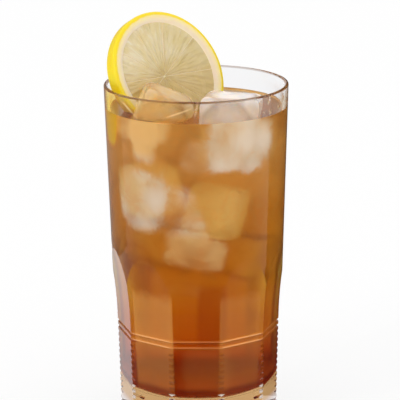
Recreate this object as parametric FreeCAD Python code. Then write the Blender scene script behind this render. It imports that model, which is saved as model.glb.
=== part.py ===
import FreeCAD, Part
import math
import os
from FreeCAD import Placement, Rotation, Vector

# A tall tumbler of iced tea: cut glass below, plain thin wall above, with a
# lemon wheel and two ice blocks standing out of the drink.
# The origin is the middle of the foot, +Z goes up, and -Y is the front.
# Lengths are in millimetres and angles in degrees.

# Tumbler: the plain cone
height = 140.0
rim_radius = 36.5
foot_radius = 32.1
rim_wall = 1.5
lip_round = 0.7

# Tumbler: the hollow, with the wall behind a panel's foot
floor_thickness = 17.2
foot_wall = 2.1
hollow_round = 4.2

# Tumbler: the flat cut panels, as deep as this in the cone
panel_count = 10
panel_foot_depth = 2.2
panel_head_depth = 2.54
run_out_gap = 2.8
run_out_length = 30.0
foot_bevel = 0.9

# Tumbler: the double ring and the notched edges
groove_height = 42.2
groove_pitch = 2.45
groove_width = 1.3
groove_depth = 0.5
notch_gap = 2.4
notch_pitch = 2.4
notch_width = 1.7
notch_depth = 0.55
notch_foot_margin = 3.0

# Drink
headspace = 10.5
fill_gap = 0.1

# Lemon wheel, placed by its middle: over the rim, behind the axis and from
# the wall on its left
lemon_radius = 26.0
lemon_thickness = 6.0
lemon_edge_round = 1.1
lemon_rise = 0.8
lemon_setback = 16.5
lemon_wall_gap = 2.1
lemon_turn = 39.0
lemon_lean = 28.0
rind_width = 3.6
segment_count = 10
segment_gap = 0.9
segment_dip = 0.35
core_radius = 2.2

# Ice blocks that stand out of the drink: each lies towards one side, as far
# out as the wall lets its outer corner go, with its middle under the surface
ice_round = 3.2
ice_taper = 0.93
right_ice_size = Vector(23.0, 25.0, 25.0)
right_ice_side = -36.9
right_ice_wall_gap = 0.5
right_ice_depth = 4.9
right_ice_turn = (-7.0, 3.0, -4.0)
left_ice_size = Vector(21.0, 19.0, 20.0)
left_ice_side = -145.2
left_ice_wall_gap = 4.1
left_ice_depth = 0.7
left_ice_turn = (6.0, 24.0, 3.0)
piece_gap = 0.25

# How far a cutter runs past the glass, and past an edge it must not touch
cutter_margin = 5.0
edge_clear = 0.1


def revolved(points):
    """A full turn about Z of a closed outline given as (radius, height)."""
    outline = [Vector(r, 0, z) for r, z in points]
    face = Part.Face(Part.makePolygon(outline + outline[:1]))
    return face.revolve(Vector(0, 0, 0), Vector(0, 0, 1), 360)


def joined(points):
    """Straight edges from each point to the next."""
    return [Part.LineSegment(a, b).toShape() for a, b in zip(points, points[1:])]


def slab(wire, half_width):
    """A closed outline in the XZ plane given width on both sides of it."""
    face = Part.Face(wire)
    face.translate(Vector(0, -half_width, 0))
    return face.extrude(Vector(0, 2 * half_width, 0))


def cone_radius(z):
    return foot_radius + (rim_radius - foot_radius) * z / height


def run_out_start():
    return groove_height + run_out_gap


def panel_apothem(z):
    """Distance from the axis to the straight part of a panel."""
    share = z / run_out_start()
    return cone_radius(z) - panel_foot_depth * (1 - share) - panel_head_depth * share


def run_out_arc():
    """The arc by which a panel leaves the cone, run on past the surface."""
    low = run_out_start()
    start = Vector(panel_apothem(low), 0, low)
    top = Vector(cone_radius(low + run_out_length), 0, low + run_out_length)
    along = start - Vector(panel_apothem(0), 0, 0)
    across = Vector(along.z, 0, -along.x).normalize()
    chord = top - start
    radius = chord.dot(chord) / (2 * chord.dot(across))
    centre = start + across * radius
    to_top = 2 * math.asin(chord.Length / (2 * radius))
    whole = to_top + cutter_margin / (2 * radius)

    def on_arc(angle):
        turned = Rotation(Vector(0, 1, 0), math.degrees(angle))
        return centre + turned.multVec(start - centre)

    return start, on_arc(whole / 2), on_arc(whole)


def groove_heights():
    return [groove_height, groove_height - groove_pitch]


def panel_cutter():
    """Everything outside one panel, with its two ring grooves."""
    start, middle, end = run_out_arc()
    outside = rim_radius + 2 * cutter_margin
    foot = panel_apothem(0) - foot_bevel
    points = [
        Vector(outside, 0, end.z),
        Vector(outside, 0, -cutter_margin),
        Vector(foot, 0, -cutter_margin),
        Vector(foot, 0, 0),
        Vector(panel_apothem(foot_bevel), 0, foot_bevel),
    ]
    for z in sorted(groove_heights()):
        for step, depth in ((-0.5, 0), (0, groove_depth), (0.5, 0)):
            level = z + step * groove_width
            points.append(Vector(panel_apothem(level) - depth, 0, level))
    points.append(start)
    edges = joined(points)
    edges.append(Part.Arc(start, middle, end).toShape())
    edges += joined([end, points[0]])
    half_panel = start.x * math.tan(math.pi / panel_count)
    return slab(Part.Wire(edges), half_panel + cutter_margin)


def notch_heights():
    first = groove_heights()[-1] - notch_gap
    count = int((first - notch_foot_margin) / notch_pitch) + 1
    return [first - i * notch_pitch for i in range(count)]


def edge_comb():
    """The row of small V notches down one edge between two panels."""
    to_edge = 1 / math.cos(math.pi / panel_count)
    points = []
    for z in sorted(notch_heights()):
        for step, depth in ((-0.5, -edge_clear), (0, notch_depth), (0.5, -edge_clear)):
            level = z + step * notch_width
            points.append(Vector(panel_apothem(level) * to_edge - depth, 0, level))
    outside = rim_radius + cutter_margin
    points.append(Vector(outside, 0, points[-1].z))
    points.append(Vector(outside, 0, points[0].z))
    return slab(Part.makePolygon(points + points[:1]), cutter_margin)


def around(shape, offset):
    """Copies of a cutter at every panel, turned on by a share of a panel."""
    step = 360 / panel_count
    copies = []
    for i in range(panel_count):
        turned = shape.copy()
        turned.rotate(Vector(0, 0, 0), Vector(0, 0, 1), -90 + step * (i + offset))
        copies.append(turned)
    return copies


def hollow_radius(z):
    foot = panel_apothem(0) - foot_wall
    rim = rim_radius - rim_wall
    return foot + (rim - foot) * (z - floor_thickness) / (height - floor_thickness)


def hollow(gap=0.0, top=height + cutter_margin):
    """The space inside the tumbler, smaller all round by the gap."""
    low = floor_thickness + gap
    ends = hollow_radius(low) - gap, hollow_radius(top) - gap
    cone = Part.makeCone(*ends, top - low, Vector(0, 0, low))
    foot_edges = [e for e in cone.Edges if e.BoundBox.ZMax < low + edge_clear]
    return cone.makeFillet(hollow_round - gap, foot_edges)


def tumbler():
    body = revolved([(0, 0), (foot_radius, 0), (rim_radius, height), (0, height)])
    body = body.cut(around(panel_cutter(), 0))
    body = body.cut(around(edge_comb(), 0.5))
    body = body.cut(hollow())
    lip = [e for e in body.Edges if e.BoundBox.ZMin > height - edge_clear]
    return body.makeFillet(lip_round, lip)


def lemon_place():
    """Where the wheel, made flat about the origin, stands in the glass."""
    reach = hollow_radius(height) - lemon_wall_gap
    across = lemon_radius - math.sqrt(reach ** 2 - lemon_setback ** 2)
    upright = Rotation(Vector(1, 0, 0), 90 - lemon_lean)
    turned = Rotation(Vector(0, 0, 1), lemon_turn)
    centre = turned.multVec(Vector(across, lemon_setback, height + lemon_rise))
    return Placement(centre, turned.multiply(upright))


def lemon_blank(gap=0.0):
    """The wheel before its segments, larger all round by the gap."""
    half = lemon_thickness / 2 + gap
    disc = Part.makeCylinder(lemon_radius + gap, 2 * half, Vector(0, 0, -half))
    rims = [e for e in disc.Edges if isinstance(e.Curve, Part.Circle)]
    blank = disc.makeFillet(lemon_edge_round, rims)
    blank.Placement = lemon_place()
    return blank


def segment_wedge():
    """One segment of pulp, pointing along +X, as deep as its dip."""
    half_angle = math.pi / segment_count
    outer = lemon_radius - rind_width
    tip = Vector(core_radius + segment_gap / 2 / math.sin(half_angle), 0, 0)
    reach = half_angle - math.asin(segment_gap / 2 / outer)
    ends = [Vector(outer * math.cos(a), outer * math.sin(a), 0) for a in (-reach, 0, reach)]
    edges = joined([ends[2], tip, ends[0]]) + [Part.Arc(*ends).toShape()]
    return Part.Face(Part.Wire(edges)).extrude(Vector(0, 0, segment_dip))


def segment_dips():
    """The wedges sunk in both faces of the wheel."""
    dips = []
    for low in (lemon_thickness / 2 - segment_dip, -lemon_thickness / 2):
        for i in range(segment_count):
            wedge = segment_wedge()
            wedge.translate(Vector(0, 0, low))
            wedge.rotate(Vector(0, 0, 0), Vector(0, 0, 1), 360 * (i + 0.5) / segment_count)
            dips.append(wedge)
    dips = Part.makeCompound(dips)
    dips.Placement = lemon_place()
    return dips


def drink_level():
    return height - headspace


def ice_centre(size, place, turn):
    """The middle of a block whose outermost corner is the gap from the wall."""
    side, wall_gap, depth = place
    level = drink_level() - depth
    reach = hollow_radius(level) - wall_gap
    toward = Rotation(Vector(0, 0, 1), side - turn[0])
    centre_distance = reach
    for x in (-size.x / 2, size.x / 2):
        for y in (-size.y / 2, size.y / 2):
            corner = toward.inverted().multVec(Vector(x, y, 0))
            distance = math.sqrt(reach ** 2 - corner.y ** 2) - corner.x
            centre_distance = min(centre_distance, distance)
    return Rotation(Vector(0, 0, 1), side).multVec(Vector(centre_distance, 0, level))


def ice_block(size, place, turn, gap):
    """A tapered block with melted edges, larger all round by the gap."""
    def square(width, depth, z):
        x, y = width / 2, depth / 2
        corners = [Vector(-x, -y, z), Vector(x, -y, z), Vector(x, y, z), Vector(-x, y, z)]
        return Part.makePolygon(corners + corners[:1])

    width, depth, tall = (side + 2 * gap for side in size)
    low = square(width * ice_taper, depth * ice_taper, -tall / 2)
    high = square(width, depth, tall / 2)
    block = Part.makeLoft([low, high], True, True)
    block = block.makeFillet(ice_round, block.Edges)
    block.Placement = Placement(ice_centre(size, place, turn), Rotation(*turn))
    return block


def behind_lemon_face(gap):
    """All that lies behind a plane just in front of the wheel."""
    span = 2 * height
    front = lemon_thickness / 2 + gap
    block = Part.makeBox(span, span, span, Vector(-span / 2, -span / 2, front - span))
    block.Placement = lemon_place()
    return block


def right_ice(gap=0.0):
    place = right_ice_side, right_ice_wall_gap, right_ice_depth
    block = ice_block(right_ice_size, place, right_ice_turn, gap)
    return block.cut(lemon_blank(piece_gap - gap))


def left_ice(gap=0.0):
    place = left_ice_side, left_ice_wall_gap, left_ice_depth
    block = ice_block(left_ice_size, place, left_ice_turn, gap)
    return block.cut([behind_lemon_face(piece_gap - gap), right_ice(piece_gap - gap)])


def drink():
    tea = hollow(fill_gap, drink_level())
    return tea.cut([lemon_blank(piece_gap), right_ice(piece_gap), left_ice(piece_gap)])


parts = {
    "tumbler": tumbler(),
    "iced_tea": drink(),
    "lemon_wheel": lemon_blank().cut(segment_dips()),
    "ice_block_right": right_ice(),
    "ice_block_left": left_ice(),
}

os.makedirs("parts", exist_ok=True)
for name, shape in parts.items():
    shape.exportStep(f"parts/{name}.step")
    millilitres = round(shape.Volume / 1000, 2)
    print(name, len(shape.Solids), "solid", millilitres, "ml", shape.isValid())
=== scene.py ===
import bpy
import bmesh
import math
import random
from mathutils import Euler, Matrix, Vector, noise


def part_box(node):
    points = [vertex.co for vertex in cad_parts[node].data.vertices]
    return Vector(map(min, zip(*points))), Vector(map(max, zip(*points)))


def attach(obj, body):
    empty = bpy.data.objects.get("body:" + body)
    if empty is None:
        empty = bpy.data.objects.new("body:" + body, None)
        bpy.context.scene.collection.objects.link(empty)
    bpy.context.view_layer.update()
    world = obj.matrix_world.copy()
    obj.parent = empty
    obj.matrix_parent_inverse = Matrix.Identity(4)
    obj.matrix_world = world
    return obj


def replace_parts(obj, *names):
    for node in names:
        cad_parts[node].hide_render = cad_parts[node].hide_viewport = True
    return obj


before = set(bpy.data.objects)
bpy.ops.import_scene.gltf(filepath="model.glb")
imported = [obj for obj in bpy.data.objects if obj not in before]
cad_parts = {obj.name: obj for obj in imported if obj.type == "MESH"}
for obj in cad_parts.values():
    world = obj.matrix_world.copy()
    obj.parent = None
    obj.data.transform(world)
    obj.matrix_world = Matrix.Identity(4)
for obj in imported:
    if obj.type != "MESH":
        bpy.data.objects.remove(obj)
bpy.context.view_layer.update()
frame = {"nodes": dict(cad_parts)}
mm = 0.001
print("frame loaded:", ", ".join(frame["nodes"]))


def rgb(red, green, blue):
    return (red, green, blue, 1.0)


def inRadians(turn):
    return tuple(math.radians(a) for a in turn)


def standing(centre, turn):                    # a place and a turn as one matrix
    return Matrix.Translation(centre) @ Euler(inRadians(turn), "XYZ").to_matrix().to_4x4()


class Wire:                                    # a socket that can stand in a sum
    def __init__(self, socket):
        self.socket = socket

    def maths(self, operation, *values):
        sockets = dict(enumerate(values))
        return addNode(self.socket.id_data, "ShaderNodeMath", {"operation": operation}, sockets)

    def own(self, operation):                  # one that takes this value alone
        return self.maths(operation, self)

    def __add__(self, other):
        return self.maths("ADD", self, other)

    def __radd__(self, other):
        return self.maths("ADD", other, self)

    def __sub__(self, other):
        return self.maths("SUBTRACT", self, other)

    def __rsub__(self, other):
        return self.maths("SUBTRACT", other, self)

    def __mul__(self, other):
        return self.maths("MULTIPLY", self, other)

    def __rmul__(self, other):
        return self.maths("MULTIPLY", other, self)

    def __pow__(self, other):
        return self.maths("POWER", self, other)

    def __rpow__(self, other):
        return self.maths("POWER", other, self)

    def out(self, name):                       # another output of the same node
        return Wire(self.socket.node.outputs[name])


def addNode(tree, kind, settings=None, sockets=None, out=0):
    node = tree.nodes.new(kind)
    for name, value in (settings or {}).items():
        if name == "stops":                    # a colour ramp's (place, colour) pairs
            ramp = node.color_ramp
            while len(ramp.elements) < len(value):
                ramp.elements.new(1.0)
            for stop, (place, colour) in zip(ramp.elements, value):
                stop.position = place
                stop.color = (*colour, 1.0)
        else:
            setattr(node, name, value)
    for name, value in (sockets or {}).items():
        if isinstance(value, Wire):
            tree.links.new(value.socket, node.inputs[name])
        elif value is not None:
            node.inputs[name].default_value = value
    return Wire(node.outputs[out]) if node.outputs else node


class Finish:                                  # one procedural material
    def __init__(self, name):
        self.material = bpy.data.materials.new(name)
        self.material.use_nodes = True
        self.tree = self.material.node_tree
        self.tree.nodes.clear()
        self.place = self.add("ShaderNodeTexCoord", out="Object")

    def add(self, kind, settings=None, sockets=None, out=0):
        return addNode(self.tree, kind, settings, sockets, out)

    def axes(self, vector=None):
        split = self.add("ShaderNodeSeparateXYZ", None, {0: vector or self.place}, "X")
        return split, split.out("Y"), split.out("Z")

    def aligned(self, centre, turn, reach=(1.0, 1.0, 1.0)):    # space seen from a turned middle
        sockets = {"Vector": self.place, "Location": tuple(centre), "Rotation": inRadians(turn),
                   "Scale": reach}
        return self.add("ShaderNodeMapping", {"vector_type": "TEXTURE"}, sockets)

    def length(self, vector):
        return self.add("ShaderNodeVectorMath", {"operation": "LENGTH"}, {0: vector}, "Value")

    def joined(self, x, y, z):
        return self.add("ShaderNodeCombineXYZ", None, {0: x, 1: y, 2: z})

    def noise(self, scale, detail=3.0, roughness=0.5, distortion=0.0, vector=None):
        sockets = {"Vector": vector or self.place, "Scale": scale, "Detail": detail,
                   "Roughness": roughness, "Distortion": distortion}
        return self.add("ShaderNodeTexNoise", None, sockets)

    def remap(self, value, low, high, first=0.0, last=1.0):
        sockets = {"Value": value, "From Min": low, "From Max": high,
                   "To Min": first, "To Max": last}
        return self.add("ShaderNodeMapRange", {"interpolation_type": "SMOOTHSTEP"}, sockets)

    def fade(self, value, start, full, first=0.0, last=1.0):   # the same, its ends in mm
        return self.remap(value, start * mm, full * mm, first, last)

    def near(self, value, middle, end, full, share=1.0):       # full close to a value, 0 past end
        return self.remap((value - middle).own("ABSOLUTE"), end, full, 0.0, share)

    def patch(self, stray, centre, reach, turn, share):        # a soft-edged block of space
        local = self.aligned([c * mm for c in centre], turn, [r * mm for r in reach])
        across, deep, up = self.axes(local)
        span = (across ** 4 + deep ** 4 + up ** 4) ** 0.25
        return self.remap(span + stray, 1.50, 1.0, 0.0, share)

    def tint(self, share, first, last):        # two colours by a share
        sockets = {0: share, 6: first, 7: last}
        return self.add("ShaderNodeMix", {"data_type": "RGBA"}, sockets, 2)

    def ramp(self, value, stops):
        return self.add("ShaderNodeValToRGB", {"stops": stops}, {0: value})

    def bump(self, height, strength, distance):
        sockets = {"Height": height, "Strength": strength, "Distance": distance}
        return self.add("ShaderNodeBump", None, sockets)

    def shader(self, **sockets):
        named = {name.replace("_", " "): value for name, value in sockets.items()}
        return self.add("ShaderNodeBsdfPrincipled", None, named)

    def blend(self, share, first, last):
        return self.add("ShaderNodeMixShader", None, {0: share, 1: first, 2: last})

    def finish(self, surface, volume=None):
        sockets = {"Surface": surface, "Volume": volume}
        self.add("ShaderNodeOutputMaterial", None, sockets)
        return self.material


def makeObject(name, shape, material=None):
    mesh = bpy.data.meshes.new(name)
    shape.to_mesh(mesh)
    shape.free()
    if material:
        mesh.materials.append(material)
    made = bpy.data.objects.new(name, mesh)
    bpy.context.collection.objects.link(made)
    return made


def makePiece(name, shape, material, sharpAngle):
    piece = makeObject(name, shape, material)
    piece.data.shade_smooth()
    piece.data.set_sharp_from_angle(angle=math.radians(sharpAngle))
    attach(piece, "root")
    return piece


def outward(shape):
    bmesh.ops.recalc_face_normals(shape, faces=shape.faces[:])


def moveAll(shape, matrix):
    bmesh.ops.transform(shape, matrix=matrix, verts=shape.verts[:])


def ringEdges(shape, height):                  # edges that lie at one height
    return [e for e in shape.edges if all(abs(v.co.z - height) < 0.05 * mm for v in e.verts)]


def bevelEdges(shape, edges, offset, segments):
    bmesh.ops.bevel(shape, geom=edges, offset=offset * mm, offset_type="OFFSET",
                    affect="EDGES", segments=segments, profile=0.5, material=-1)


def cutOff(shape, place, facing):              # takes away what lies beyond a plane
    bmesh.ops.bisect_plane(shape, geom=shape.verts[:] + shape.edges[:] + shape.faces[:],
                           plane_co=place, plane_no=facing, clear_outer=True)


def closeHoles(shape):
    bmesh.ops.holes_fill(shape, edges=[e for e in shape.edges if e.is_boundary])


# Sizes are in mm and turns in degrees. A pair such as wetTop is where a fade starts and where it
# is full. A spot is its middle, reach, turn and share.
glassLook = {
    "clear": rgb(0.93, 0.93, 0.94), "gloss": 0.1,
    "rim": rgb(0.42, 0.34, 0.30), "rimShadeFrom": (139.1, 139.6),
    "wet": rgb(0.98, 0.91, 0.80), "wetTop": (141.5, 138.5), "wetFoot": (122.0, 130.0),
    "wetFront": (12.0, -6.0),
    "leftSide": rgb(0.97, 0.80, 0.40), "leftFrom": (-24.5, -32.0),
    "rightSideShade": rgb(0.86, 0.76, 0.62), "rightFrom": (24.5, 29.0),
    "peel": rgb(1.0, 0.70, 0.06),              # painted image of the lemon's yellow peel, as the wall bends it into view
    "peelSpot": ((-33.5, -12.0, 131.0), (5.0, 9.0, 12.0), (0, 4, 0), 0.80),
    "glint": rgb(0.42, 0.34, 0.22),
    "glintSpots": (
        ((-25.2, -24.1, 135.2), (5.0, 6.0, 0.45), (0, 42, 0), 0.42),
        ((-6.5, -34.2, 135.2), (6.5, 5.0, 0.45), (0, -21, 0), 0.36),
        ((1.0, -34.6, 137.0), (0.5, 5.0, 3.5), (0, 12, 0), 0.30)),
    "footGlow": rgb(0.94, 0.84, 0.66), "glowFoot": (16.5, 19.5), "glowTop": (32.0, 26.0),
    "footAmberReflection": rgb(0.40, 0.14, 0.025), "amberFoot": (6.0, 14.0), "amberTop": (24.0, 21.2),
    "rings": (42.2, 39.75), "ringLift": 0.25, "ringEdge": (0.45, 0.25),           # groove heights
    "ringGlint": rgb(0.30, 0.18, 0.10), "ringPanels": (-3.5, -1.5),
    "panels": 10, "ridge": (0.075, 0.035),     # ridge and ringPanels count in panels
    "rungShade": rgb(0.50, 0.36, 0.28), "rungPitch": 2.4, "rungStart": 0.15,
    "rungTop": (38.0, 37.0), "rungFront": (2.0, -4.0),
}


def panelNumber(x, y):                         # which flat side a point is behind
    return x.maths("ARCTAN2", y, x) * (glassLook["panels"] / (2 * math.pi))


def glassMaterial():
    f = Finish("cutGlass")
    x, y, z = f.axes()
    wear = f.noise(900.0, 2.0)
    rough = f.remap(wear, 0.45, 0.8, 0.0, 0.012)
    # painted reflection: the drink's amber in the thick glass, pale about the drink's floor and
    # deep just below it
    foot = f.fade(z, *glassLook["glowFoot"]) * f.fade(z, *glassLook["glowTop"])
    colour = f.tint(foot, glassLook["clear"], glassLook["footGlow"])
    under = f.fade(z, *glassLook["amberTop"]) * f.fade(z, *glassLook["amberFoot"])
    colour = f.tint(under, colour, glassLook["footAmberReflection"])

    panel = panelNumber(x, y)                  # painted shade: dark rungs up the ridges between the flat sides, low on the front
    ridge = f.near(panel, panel.own("ROUND"), *glassLook["ridge"])
    beat = (z - glassLook["rungStart"] * mm) * (math.pi / (glassLook["rungPitch"] * mm))
    rungShade = f.remap(beat.own("SINE").own("ABSOLUTE"), 0.45, 0.75)
    low = f.fade(z, *glassLook["rungTop"]) * f.fade(y, *glassLook["rungFront"])
    colour = f.tint(ridge * rungShade * low, colour, glassLook["rungShade"])

    runs = f.noise(260.0, 2.0, 0.5, 0.6, f.joined(x, y, z * 0.35))    # wetness above the level
    wet = f.fade(z + runs * 0.006, *glassLook["wetTop"]) * f.fade(z, *glassLook["wetFoot"])
    wet = wet * f.fade(y, *glassLook["wetFront"])
    colour = f.tint(wet * f.remap(runs, 0.3, 0.7, 0.45, 1.0), colour, glassLook["wet"])
    # the wet band's left end is tinted golden; its right end is painted darker, as painted shade
    colour = f.tint(wet * f.fade(x, *glassLook["leftFrom"]), colour, glassLook["leftSide"])
    colour = f.tint(wet * f.fade(x, *glassLook["rightFrom"]), colour, glassLook["rightSideShade"])
    # painted image of the lemon peel in the wall
    colour = f.tint(f.patch(runs * 0.4, *glassLook["peelSpot"]), colour, glassLook["peel"])
    # painted shade: the top of the rim is tinted dark brown-grey
    colour = f.tint(f.fade(z, *glassLook["rimShadeFrom"]), colour, glassLook["rim"])

    end, full = (edge * mm for edge in glassLook["ringEdge"])         # light in the double ring
    lit = sum(f.near(z, (level + glassLook["ringLift"]) * mm, end, full)
              for level in glassLook["rings"])
    side = sum(f.near(panel, middle, 0.5, 0.45) for middle in glassLook["ringPanels"])
    sparkle = f.tint(lit * (side * 0.7 + 0.3), rgb(0, 0, 0), glassLook["ringGlint"])
    bright = sum(f.patch(runs * 1.1, *spot) for spot in glassLook["glintSpots"])
    sparkle = f.tint(bright, sparkle, glassLook["glint"])
    gloss = glassLook["gloss"]
    surface = f.shader(Base_Color=colour, Roughness=rough, IOR=1.5,
                       Transmission_Weight=1.0, Specular_Tint=rgb(gloss, gloss, gloss),
                       Emission_Color=sparkle, Emission_Strength=1.0)
    return f.finish(surface)


tumbler = frame["nodes"]["tumbler"]
tumbler.material_slots[0].material = glassMaterial()
print("tumbler finished")


drink = {
    "floor": 17.2, "floorRadius": 27.8, "rim": 140.0, "rimRadius": 35.0, "cornerRound": 4.2,
    "level": 129.5, "intoWall": 0.25, "intoIce": 0.2,
    "climb": ((0.5, 0.75), (0.7, 0.5), (1.0, 0.28), (1.4, 0.12)),     # meniscus steps in, down
    "absorb": rgb(0.86, 0.62, 0.08), "density": 85.0,
    "blur": 0.28, "wallSkin": (-0.6, -0.2),    # roughness of the outer wall, and its place
    "toneRange": (15.0, 125.0),
    "tones": (                                 # the clear drink, from its floor to its level
        (0.0, (0.52, 0.06, 0.003)), (0.025, (0.60, 0.12, 0.004)), (0.06, (0.86, 0.34, 0.008)),
        (0.19, (1.0, 0.62, 0.02)), (0.30, (1.0, 0.76, 0.06)), (0.42, (1.0, 0.90, 0.20)),
        (0.55, (1.0, 0.84, 0.28)), (1.0, (1.0, 0.94, 0.58))),
    "hazeTones": (                             # its haze, over the same height
        (0.0, (0.35, 0.08, 0.004)), (0.5, (0.46, 0.13, 0.008)), (0.8, (0.80, 0.31, 0.03)),
        (1.0, (0.88, 0.44, 0.10))),
    "hazeFrom": (66.0, 98.0), "hazeTop": (108.0, 122.0), "hazeGlow": 0.15,
    "cream": (rgb(1.0, 0.83, 0.64), rgb(0.88, 0.66, 0.42)), "golden": rgb(1.0, 0.63, 0.24),
    "goldenLow": (90.0, 84.0), "goldenHigh": (112.0, 120.0), "goldenLeft": (2.0, -6.0),
    "paleSpots": (                             # painted light: pale patches, like lit ice close behind the wall
        ((17.0, -29.0, 122.5), (12.5, 14.0, 11.5), (0, 9, 0), 0.48),
        ((3.0, -33.0, 117.5), (8.0, 10.0, 7.0), (0, 10, 0), 0.20),
        ((-20.5, -27.0, 99.0), (9.0, 12.0, 12.5), (0, 4, 0), 0.40),
        ((-5.0, -33.0, 92.0), (9.0, 9.0, 14.0), (0, -24, 0), 0.22),
        ((0.0, -33.0, 79.5), (12.0, 9.0, 7.5), (0, 12, 0), 0.48),
        ((-4.0, -33.0, 64.5), (7.0, 9.0, 3.0), (0, 6, 0), 0.14),
        ((-19.0, -29.0, 126.0), (5.0, 12.0, 12.0), (0, 0, 0), 0.34),
        ((-22.0, -27.0, 130.0), (12.0, 12.0, 7.5), (0, 5, 0), 0.38)),
    # painted sheen: a warm veil on some lower panels and a low spot
    "warmSheen": rgb(1.0, 0.48, 0.11), "warmTop": (66.0, 60.0), "warmFoot": (34.0, 44.0),
    "warmPanels": ((-3.5, 0.46), (-1.5, 0.26), (-0.5, 0.10)),         # which panel, share
    "warmSpot": ((3.0, -28.0, 28.0), (9.0, 9.0, 12.0), (0, 0, 0), 0.10),
    "shade": rgb(0.55, 0.20, 0.01),
    "shadeSpots": (
        ((6.0, -29.0, 53.0), (5.5, 9.0, 13.0), (0, 0, 0), 0.75),
        ((-24.0, -25.0, 71.0), (8.0, 10.0, 11.0), (0, 0, 0), 0.65)),
    "peel": rgb(0.86, 0.62, 0.05),
    "peelSpot": ((-32.5, -12.5, 129.0), (4.2, 6.5, 12.0), (0, 6, 0), 0.64),
}
wallSlope = (drink["rimRadius"] - drink["floorRadius"]) / (drink["rim"] - drink["floor"])


def hollowRadius(z):                           # the glass's inside, at a height in mm
    return drink["floorRadius"] + (z - drink["floor"]) * wallSlope


def teaMaterial():
    f = Finish("tea")
    x, y, z = f.axes()
    radius = (x * x + y * y) ** 0.5
    wall = mm * drink["floorRadius"] + (z - mm * drink["floor"]) * wallSlope
    outside = f.fade(radius - wall, *drink["wallSkin"])               # not the faces round the ice
    depth = f.fade(z, *drink["toneRange"])
    clouds = f.noise(60.0, 3.0, 0.5, 0.8)
    wisps = f.noise(170.0, 3.0, 0.6, 1.5)
    facets = f.add("ShaderNodeTexVoronoi", {"feature": "SMOOTH_F1"},
                   {"Vector": f.place, "Scale": 75.0, "Smoothness": 0.35}, "Distance")
    stir = f.remap(clouds * 0.7 + wisps * 0.3, 0.36, 0.64)
    stray = wisps * 0.16 + clouds * 0.40
    broken = f.remap(wisps * 0.5 + facets * 0.6, 0.30, 0.72, 1.2, 0.45)

    # painted light in pale patches
    pale = sum(f.patch(stray, *spot) * broken for spot in drink["paleSpots"])
    panel = panelNumber(x, y)
    # painted sheen on some lower panels
    warmSheen = sum(f.near(panel, middle, 0.52, 0.48, share) for middle, share in drink["warmPanels"])
    warmSheen = warmSheen * f.fade(z + wisps * 0.006, *drink["warmTop"])
    warmSheen = warmSheen * f.fade(z, *drink["warmFoot"], 0.6, 1.0)
    warmSheen = f.patch(stray, *drink["warmSpot"]) + warmSheen
    shade = sum(f.patch(stray, *spot) for spot in drink["shadeSpots"])
    # painted image of the lemon peel seen in the wall
    peel = f.patch(stray * 1.4, *drink["peelSpot"])
    high = f.fade(z, *drink["hazeFrom"], 0.03, 1.0) * (0.28 + 0.25 * stir)
    haze = outside * (high + f.fade(z, *drink["hazeTop"], 0.0, 0.14) + pale + warmSheen + peel)

    colour = f.ramp(depth, drink["tones"])
    colour = f.tint(shade, colour, drink["shade"])
    colour = f.tint(outside, rgb(1, 1, 1), colour)
    clear = f.shader(Base_Color=colour, Roughness=outside * drink["blur"], IOR=1.333,
                     Transmission_Weight=1.0, Specular_Tint=rgb(0.0, 0.0, 0.0))

    # the painted light is cream, and golden low down and high on the left
    folds = f.remap(clouds * 0.6 + facets * 0.5, 0.36, 0.68)
    golden = f.fade(z, *drink["goldenHigh"]) * f.fade(x, *drink["goldenLeft"])
    golden = golden + f.fade(z, *drink["goldenLow"])
    cream = f.tint(golden, f.tint(folds, *drink["cream"]), drink["golden"])
    milk = f.ramp(depth, drink["hazeTones"])
    milk = f.tint(f.remap(pale, 0.0, 0.35), milk, cream)
    milk = f.tint(f.remap(warmSheen, 0.02, 0.12), milk, drink["warmSheen"])
    milk = f.tint(f.remap(peel, 0.05, 0.5), milk, drink["peel"])
    hazy = f.shader(Base_Color=milk, Roughness=0.6, Specular_IOR_Level=0.0,
                    Emission_Color=milk, Emission_Strength=drink["hazeGlow"])
    volume = f.add("ShaderNodeVolumeAbsorption", None,
                   {"Color": drink["absorb"], "Density": drink["density"]})
    return f.finish(f.blend(haze, clear, hazy), volume)


def teaShape():
    low = drink["floor"] - drink["intoWall"]
    high = drink["level"] + sum(down for across, down in drink["climb"])
    shape = bmesh.new()
    bmesh.ops.create_cone(
        shape, cap_ends=True, segments=180, depth=(high - low) * mm,
        radius1=(hollowRadius(low) + drink["intoWall"]) * mm,
        radius2=(hollowRadius(high) + drink["intoWall"]) * mm,
        matrix=Matrix.Translation((0, 0, (low + high) / 2 * mm)))
    bevelEdges(shape, ringEdges(shape, low * mm), drink["cornerRound"], 8)
    top = [f for f in shape.faces if f.normal.z > 0.99 and f.calc_center_median().z > 0.1]
    for across, down in drink["climb"]:
        bmesh.ops.inset_region(shape, faces=top, thickness=across * mm, depth=-down * mm,
                               use_even_offset=True)
    outward(shape)
    return shape


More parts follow.
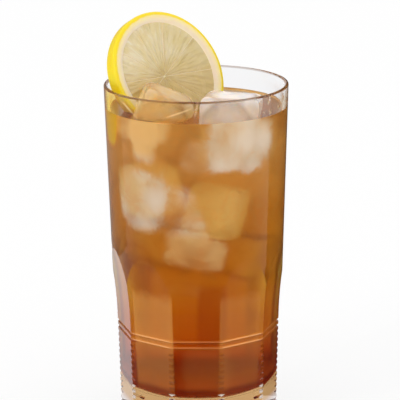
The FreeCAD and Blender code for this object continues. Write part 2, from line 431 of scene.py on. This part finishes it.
lemon = {
    "radius": 26.0, "thickness": 6.0, "edgeRound": 1.1, "turn": (62.0, 0.0, 39.0),
    "peel": 1.7, "rind": 4.2, "steps": ((2.9, 0.0), (0.5, 0.35), (2.0, 0.0)),     # in, down
    "segments": 10, "membrane": 0.25, "coreCut": 2.88, "middle": (-3.0, -1.2),
    "pulpShift": (-1.2, -0.4), "pulpDepth": 0.6, "pulpSink": 0.03,
    "yellow": (rgb(0.96, 0.66, 0.0), rgb(1.0, 0.80, 0.004)),
    "sponge": (rgb(0.93, 0.74, 0.50), rgb(1.0, 0.84, 0.62)), "spongeEdge": rgb(1.0, 0.82, 0.30),
    "skin": rgb(0.88, 0.76, 0.48), "rindGlow": 0.22,
    "pulp": (rgb(0.83, 0.60, 0.27), rgb(0.92, 0.71, 0.40)), "pulpGlow": 0.09,
    "paleStreak": rgb(0.98, 0.84, 0.58), "darkStreak": rgb(0.60, 0.46, 0.19),
    "rightShade": rgb(0.64, 0.46, 0.18), "rightFrom": (-30.0, 8.0),
    "lowShade": rgb(0.64, 0.40, 0.11), "lowFrom": (152.0, 135.0),
}
wheelLow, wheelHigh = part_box("lemon_wheel")
wheelCentre = (Vector(wheelLow) + Vector(wheelHigh)) / 2
wheelPlace = standing(wheelCentre, lemon["turn"])


ice = {
    "round": 3.2, "cuts": 14, "melt": 0.06, "rough": 0.35, "lemonGap": 0.25, "facetEdge": 0.3,
    "blocks": {                                # size, middle, turn, seed, look
        "iceBlockRight": ((23.0, 25.0, 25.0), (13.6, -10.2, 124.6), (-4, 3, -7), 3, "right"),
        "iceBlockLeft": ((21.0, 19.0, 20.0), (-13.4, -9.3, 128.8), (3, 24, 6), 5, "left"),
        "sunkIceLeft": ((19.0, 17.0, 20.0), (-15.5, -12.0, 101.0), (4, -10, 28), 11, "sunk"),
        "sunkIceMiddle": ((19.0, 17.0, 21.0), (6.5, -14.5, 93.0), (-8, 12, -12), 12, "sunk"),
        "sunkIceLow": ((20.0, 18.0, 17.0), (-11.5, -1.0, 77.0), (5, 10, 12), 13, "deep"),
        "sunkIceRear": ((17.0, 15.0, 17.0), (9.0, 15.0, 101.0), (10, -8, 20), 14, "sunk"),
        "sunkIceFoot": ((17.0, 17.0, 16.0), (13.0, 5.0, 71.0), (-6, 12, -20), 15, "deep"),
    },
    "looks": {
        "right": {"cloud": (0.14, 0.46), "edge": 0.30, "blur": 0.02,
                  "tint": rgb(1.0, 0.98, 0.96), "frost": rgb(1.0, 0.93, 0.87), "glow": 0.30},
        "left": {"cloud": (0.05, 0.26), "edge": 0.22, "blur": 0.02,
                 "tint": rgb(0.96, 0.66, 0.20), "frost": rgb(1.0, 0.74, 0.30), "glow": 0.42},
        "deep": {"cloud": (0.02, 0.22), "edge": 0.0, "blur": 0.3,
                 "tint": rgb(1.0, 0.86, 0.62), "frost": rgb(1.0, 0.42, 0.10), "glow": 0.20},
        "sunk": {"cloud": (0.25, 0.85), "edge": 0.0, "blur": 0.25,
                 "tint": rgb(0.99, 0.97, 0.90), "frost": rgb(1.0, 0.80, 0.50), "glow": 0.45},
    },
    "white": rgb(0.97, 0.95, 0.92),
}


def iceMaterial(name):                         # clear edges, cloudy middle
    size, centre, turn, _, kind = ice["blocks"][name]
    look = ice["looks"][kind]
    f = Finish(name)
    reach = [edge / 2 * mm for edge in size]
    edges = f.length(f.aligned([c * mm for c in centre], turn, reach))
    swirl = f.noise(90.0, 3.0, 0.5, 0.6)
    fine = f.noise(420.0, 2.0, 0.5, 0.0)
    core = f.remap(edges + swirl * 0.5, 1.66, 1.28, *look["cloud"])
    # painted highlight: more glowing frost along the block's edges
    core = core + f.remap(edges, 1.30, 1.42, 0.0, look["edge"])
    clear = f.shader(Base_Color=look["tint"], Roughness=look["blur"], IOR=1.31,
                     Transmission_Weight=1.0, Specular_Tint=rgb(0.3, 0.3, 0.3))
    white = f.tint(fine, look["frost"], ice["white"])
    frost = f.shader(Base_Color=white, Roughness=0.8, Specular_IOR_Level=0.0,
                     Subsurface_Weight=1.0, Subsurface_Radius=(0.006, 0.005, 0.004),
                     Subsurface_Scale=1.0, Emission_Color=look["frost"],
                     Emission_Strength=look["glow"])
    return f.finish(f.blend(core, clear, frost))


def iceShape(name, grow=0.0):
    size, centre, turn, seed, _ = ice["blocks"][name]
    random.seed(seed)
    drift = Vector((random.uniform(0, 50), random.uniform(0, 50), random.uniform(0, 50)))
    shape = bmesh.new()
    bmesh.ops.create_cube(shape, size=1.0)
    bmesh.ops.subdivide_edges(shape, edges=shape.edges[:], cuts=ice["cuts"],
                              use_grid_fill=True)
    half = Vector(size) * 0.5 * mm
    keep = ice["round"] * mm
    for v in shape.verts:                      # rounded corners, hollowed faces, a melted skin
        place = Vector(v.co[i] * 2 * half[i] for i in range(3))
        inner = Vector(max(-half[i] + keep, min(half[i] - keep, place[i])) for i in range(3))
        away = place - inner
        if away.length > 0:
            place = inner + away.normalized() * min(keep, away.length)
        hollowed = 1 - min(1.0, (v.co * 2).length / 1.7)
        place *= 1 - ice["melt"] * hollowed
        wave = noise.noise(v.co * 1.7 + drift) * 0.9 + noise.noise(v.co * 4.0 + drift) * 0.35
        v.co = place + place.normalized() * (wave * ice["rough"] * mm)
    bmesh.ops.smooth_vert(shape, verts=shape.verts[:], factor=0.5, use_axis_x=True,
                          use_axis_y=True, use_axis_z=True)
    if grow:
        shape.normal_update()
        for v in shape.verts:
            v.co += v.normal * (grow * mm)
    moveAll(shape, standing(Vector(centre) * mm, turn))
    if name == "iceBlockLeft":
        faceLemon(shape, ice["lemonGap"] - grow)
    return shape


def faceLemon(shape, gap):                     # flat where the block faces the wheel
    ahead = (wheelPlace.to_3x3() @ Vector((0, 0, 1))).normalized()
    front = wheelPlace @ Vector((0, 0, (lemon["thickness"] / 2 + gap) * mm))
    cutOff(shape, front, -ahead)
    closeHoles(shape)
    onFacet = [v for v in shape.verts if abs((v.co - front).dot(ahead)) < 0.001 * mm]
    bmesh.ops.remove_doubles(shape, verts=onFacet, dist=ice["facetEdge"] * mm)
    facing = [face for face in shape.faces if abs(face.normal.dot(ahead)) > 0.99]
    facet = max(facing, key=lambda face: face.calc_area())
    bevelEdges(shape, facet.edges[:], ice["facetEdge"], 2)
    outward(shape)


for name, (*_, kind) in ice["blocks"].items():
    piece = makePiece(name, iceShape(name), iceMaterial(name), 60)
    if kind in ("right", "left"):
        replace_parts(piece, "ice_block_" + kind)
print("ice finished")


def cutFrom(piece, cutters):                   # takes other shapes out of a piece
    for cutter in cutters:
        tool = makeObject("cutter", cutter)
        cut = piece.modifiers.new("cut", "BOOLEAN")
        cut.operation = "DIFFERENCE"
        cut.solver = "EXACT"
        cut.object = tool
        with bpy.context.temp_override(object=piece, active_object=piece, selected_objects=[piece]):
            bpy.ops.object.modifier_apply(modifier=cut.name)
        bpy.data.objects.remove(tool)


tea = makePiece("teaBody", teaShape(), teaMaterial(), 30)
cutFrom(tea, [iceShape(name, grow=-drink["intoIce"]) for name in ice["blocks"]])
tea.data.set_sharp_from_angle(angle=math.radians(30))
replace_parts(tea, "iced_tea")
print("drink finished")


drops = {
    "count": 16, "seed": 8, "size": (0.35, 0.8), "around": (-42, 8), "height": (131.5, 138.2),
    "runs": (1.0, 1.3, 2.0), "flat": 0.45,     # how long a bead has run, how flat it lies
    "tones": (rgb(0.98, 0.93, 0.86), rgb(0.93, 0.82, 0.68)),
}


def dropMaterial():
    f = Finish("wetDrop")
    grain = f.noise(800.0, 2.0)
    tone = f.tint(f.remap(grain, 0.35, 0.65), *drops["tones"])
    return f.finish(f.shader(Base_Color=tone, Roughness=0.02, IOR=1.333, Transmission_Weight=1.0))


def dropShape():                               # beads left on the inside of the wall
    random.seed(drops["seed"])
    shape = bmesh.new()
    for _ in range(drops["count"]):
        size = random.uniform(*drops["size"])
        height = random.uniform(*drops["height"])
        around = math.radians(random.uniform(*drops["around"]))
        run = random.choice(drops["runs"])
        place = (Matrix.Rotation(around, 4, "Z")
                 @ Matrix.Translation((hollowRadius(height) * mm, 0, height * mm))
                 @ Matrix.Diagonal((drops["flat"] * size * mm, size * mm, run * size * mm, 1)))
        bmesh.ops.create_uvsphere(shape, u_segments=16, v_segments=10, radius=1.0, matrix=place)
    for v in shape.verts:
        v.co.z -= 0.25 * mm * noise.noise(v.co * 700)
    outward(shape)
    return shape


makePiece("wetDrops", dropShape(), dropMaterial(), 60)
print("drops finished")


def wheelSpace(f, shift=(0.0, 0.0)):           # radius, angle and height on the wheel
    local = f.aligned(wheelCentre, lemon["turn"])
    x, y, z = f.axes(local)
    x, y = x - shift[0] * mm, y - shift[1] * mm
    return local, (x * x + y * y) ** 0.5, x.maths("ARCTAN2", y, x), z


def rindMaterial():
    f = Finish("lemonRind")
    local, radius, _, _ = wheelSpace(f)
    rough = f.noise(420.0, 2.0, 0.5, 0.0, local)
    edge = (lemon["radius"] - lemon["peel"]) * mm
    inner = (lemon["radius"] - lemon["rind"]) * mm
    peel = f.remap(radius + rough * 0.0007, edge + 0.0001, edge + 0.0008)
    patch = f.noise(90.0, 3.0, 0.5, 0.0, local)
    yellow = f.tint(patch, *lemon["yellow"])
    sponge = f.tint(rough, *lemon["sponge"])
    sponge = f.tint(f.remap(radius, edge - 0.0022, edge, 0.0, 0.75), sponge, lemon["spongeEdge"])
    pith = f.remap(radius, inner - 0.0016, inner - 0.0002)            # thin skin lies inside this
    sponge = f.tint(pith, lemon["skin"], sponge)
    pores = f.add("ShaderNodeTexVoronoi", None, {"Vector": local, "Scale": 900.0}, "Distance")
    height = pores * peel * 0.8 + rough * 0.5
    surface = f.shader(Base_Color=f.tint(peel, sponge, yellow),
                       Roughness=f.remap(peel, 0, 1, 0.55, 0.32),
                       Subsurface_Weight=0.25, Subsurface_Radius=(0.003, 0.002, 0.0005),
                       Subsurface_Scale=1.0, Emission_Color=f.tint(pith, sponge, rgb(0, 0, 0)),
                       Emission_Strength=lemon["rindGlow"], Normal=f.bump(height, 0.35, 0.0004))
    return f.finish(surface)


def pulpMaterial():
    f = Finish("lemonPulp")
    local, radius, angle, z = wheelSpace(f, lemon["middle"])
    along = f.joined(angle * 0.016, radius * 0.22, z * 0.25)
    cells = f.add("ShaderNodeTexVoronoi", {"feature": "SMOOTH_F1"},
                  {"Vector": along, "Scale": 700.0, "Smoothness": 0.5}, "Distance")
    streaks = f.noise(620.0, 3.0, 0.6, 0.4, along)
    body = f.noise(110.0, 3.0, 0.5, 0.5, local)
    colour = f.tint(f.remap(body, 0.35, 0.65), *lemon["pulp"])
    colour = f.tint(f.remap(streaks, 0.52, 0.72, 0.0, 0.6), colour, lemon["paleStreak"])
    colour = f.tint(f.remap(streaks, 0.46, 0.30, 0.0, 0.4), colour, lemon["darkStreak"])
    x, _, height = f.axes()
    # painted shade: the pulp darker towards the right and lower down
    colour = f.tint(f.fade(x, *lemon["rightFrom"], 0.0, 0.62), colour, lemon["rightShade"])
    colour = f.tint(f.fade(height, *lemon["lowFrom"], 0.0, 0.75), colour, lemon["lowShade"])
    surface = f.shader(Base_Color=colour, Roughness=f.remap(body, 0.3, 0.7, 0.08, 0.28),
                       Subsurface_Weight=0.6, Subsurface_Radius=(0.005, 0.004, 0.0015),
                       Subsurface_Scale=1.0, Coat_Weight=0.7, Coat_Roughness=0.05,
                       Emission_Color=colour, Emission_Strength=lemon["pulpGlow"],
                       Normal=f.bump(cells + streaks * 0.5, 0.8, 0.0007))
    return f.finish(surface)


def rindShape():
    shape = bmesh.new()
    bmesh.ops.create_cone(shape, cap_ends=True, segments=180, radius1=lemon["radius"] * mm,
                          radius2=lemon["radius"] * mm, depth=lemon["thickness"] * mm)
    half = lemon["thickness"] / 2 * mm
    bevelEdges(shape, ringEdges(shape, half) + ringEdges(shape, -half), lemon["edgeRound"], 5)
    caps = [f for f in shape.faces if abs(f.normal.z) > 0.99 and len(f.verts) > 100]
    for across, down in lemon["steps"]:
        bmesh.ops.inset_region(shape, faces=caps, thickness=across * mm, depth=-down * mm)
    outward(shape)
    moveAll(shape, wheelPlace)
    return shape


def pulpSegment(index, face):                  # a wedge of the disc, then a thin closed slab
    shape = bmesh.new()
    half = math.pi / lemon["segments"]
    outer = (lemon["radius"] - lemon["rind"]) * mm
    heading = 2 * half * (index + 0.5)
    middle = Vector((*lemon["middle"], 0)) * mm
    shift = Matrix.Translation((lemon["pulpShift"][0] * mm, lemon["pulpShift"][1] * mm, 0))
    bmesh.ops.create_circle(shape, cap_ends=True, segments=120, radius=outer, matrix=shift)
    cuts = [(heading + side * (half + math.pi / 2), lemon["membrane"] / 2) for side in (-1, 1)]
    cuts.append((heading + math.pi, -lemon["coreCut"]))
    for angle, inset in cuts:
        normal = Vector((math.cos(angle), math.sin(angle), 0))
        cutOff(shape, middle - normal * (inset * mm), normal)
    made = bmesh.ops.extrude_face_region(shape, geom=shape.faces[:])["geom"]
    bmesh.ops.translate(shape, vec=(0, 0, -lemon["pulpDepth"] * mm),
                        verts=[v for v in made if isinstance(v, bmesh.types.BMVert)])
    closeHoles(shape)
    lift = Matrix.Translation((0, 0, (lemon["thickness"] / 2 - lemon["pulpSink"]) * mm))
    flip = Matrix.Identity(4) if face > 0 else Matrix.Diagonal((1, 1, -1, 1))
    moveAll(shape, wheelPlace @ flip @ lift)
    outward(shape)
    return shape


def pulpShape():
    whole = bpy.data.meshes.new("segments")
    shape = bmesh.new()
    for face in (1, -1):
        for index in range(lemon["segments"]):
            segment = pulpSegment(index, face)
            segment.to_mesh(whole)
            segment.free()
            shape.from_mesh(whole)
    bpy.data.meshes.remove(whole)
    return shape


for name, shape, look in (("lemonRind", rindShape(), rindMaterial()),
                          ("lemonPulp", pulpShape(), pulpMaterial())):
    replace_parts(makePiece(name, shape, look, 50), "lemon_wheel")
print("lemon finished")


studio = {                                     # places and sizes in metres
    "floorSize": 3.0, "floorTone": rgb(0.97, 0.97, 0.97), "floorRough": 0.8, "backdrop": 0.75,
    "world": 1.0, "bounces": 48,
    "lamp": {"place": (-0.45, -0.55, 0.75), "aim": (0.0, 0.0, 0.10), "width": 0.14, "power": 0.7},
    "cards": {                                 # middle, size, turn, strength
        "darkCard": ((0.085, 0.075, 0.10), (0.16, 0.20), (90, 0, -50), 0.02),
        "darkMat": ((0.098, 0.085, 0.001), (0.07, 0.17), (0, 0, -36), 0.02),
        "leftCard": ((-0.085, 0.075, 0.121), (0.16, 0.158), (90, 0, 50), 0.3),
    },
    "camera": {"lens": 214.7, "sensor": 36.0, "stand": (0.00117, -0.9217, 0.3346),
               "around": 1.5, "down": 14.74, "aside": -0.479},
}


def whiteToView(f, own):                       # white where the camera or the glass sees it
    rays = f.add("ShaderNodeLightPath", out="Is Camera Ray")
    seen = rays.maths("MAXIMUM", rays, rays.out("Is Glossy Ray"))
    seen = seen.maths("MAXIMUM", seen, rays.out("Is Transmission Ray"))
    white = f.add("ShaderNodeEmission", None, {"Color": rgb(1, 1, 1), "Strength": 1.0})
    return f.blend(seen * studio["backdrop"], own, white)


def makeFloor():
    shape = bmesh.new()
    bmesh.ops.create_grid(shape, x_segments=1, y_segments=1, size=studio["floorSize"])
    f = Finish("paleFloor")
    own = f.shader(Base_Color=studio["floorTone"], Roughness=studio["floorRough"])
    makeObject("floor", shape, f.finish(whiteToView(f, own)))


def makeCard(name, centre, size, turn, strength):                     # seen only in reflections
    shape = bmesh.new()
    bmesh.ops.create_grid(shape, x_segments=1, y_segments=1, size=0.5)
    moveAll(shape, standing(centre, turn) @ Matrix.Diagonal((*size, 1, 1)))
    f = Finish(name)
    glow = f.add("ShaderNodeEmission", None, {"Color": rgb(1, 1, 1), "Strength": strength})
    card = makeObject(name, shape, f.finish(glow))
    card.visible_camera = card.visible_diffuse = card.visible_shadow = False
    card.visible_transmission = False


def makeWorld():
    world = bpy.data.worlds.new("studio")
    world.use_nodes = True
    background = world.node_tree.nodes["Background"].inputs
    background["Color"].default_value = rgb(1, 1, 1)
    background["Strength"].default_value = studio["world"]
    bpy.context.scene.world = world


def makeCamera():
    view = studio["camera"]
    data = bpy.data.cameras.new("camera")
    data.lens, data.sensor_width = view["lens"], view["sensor"]
    camera = bpy.data.objects.new("camera", data)
    bpy.context.collection.objects.link(camera)
    around, tilt, aside = inRadians((view["around"], 90 - view["down"], view["aside"]))
    camera.matrix_world = (Matrix.Rotation(around, 4, "Z") @ Matrix.Translation(view["stand"])
                           @ Matrix.Rotation(tilt, 4, "X") @ Matrix.Rotation(aside, 4, "Z"))
    bpy.context.scene.camera = camera


def makeLamp():                                # small soft box for the wet glints
    look = studio["lamp"]
    lamp = bpy.data.lights.new("softBox", "AREA")
    lamp.energy, lamp.size = look["power"], look["width"]
    box = bpy.data.objects.new("softBox", lamp)
    aim = (Vector(look["aim"]) - Vector(look["place"])).to_track_quat("-Z", "Y")
    box.matrix_world = Matrix.Translation(look["place"]) @ aim.to_matrix().to_4x4()
    bpy.context.collection.objects.link(box)


makeFloor()
makeLamp()
for name, card in studio["cards"].items():
    makeCard(name, *card)
makeWorld()
makeCamera()
bpy.context.scene.view_settings.view_transform = "Standard"
paths = bpy.context.scene.cycles               # light crosses many walls of glass, drink and ice
paths.max_bounces = studio["bounces"]
paths.transmission_bounces = studio["bounces"]
paths.glossy_bounces = studio["bounces"] // 2
print("studio finished")
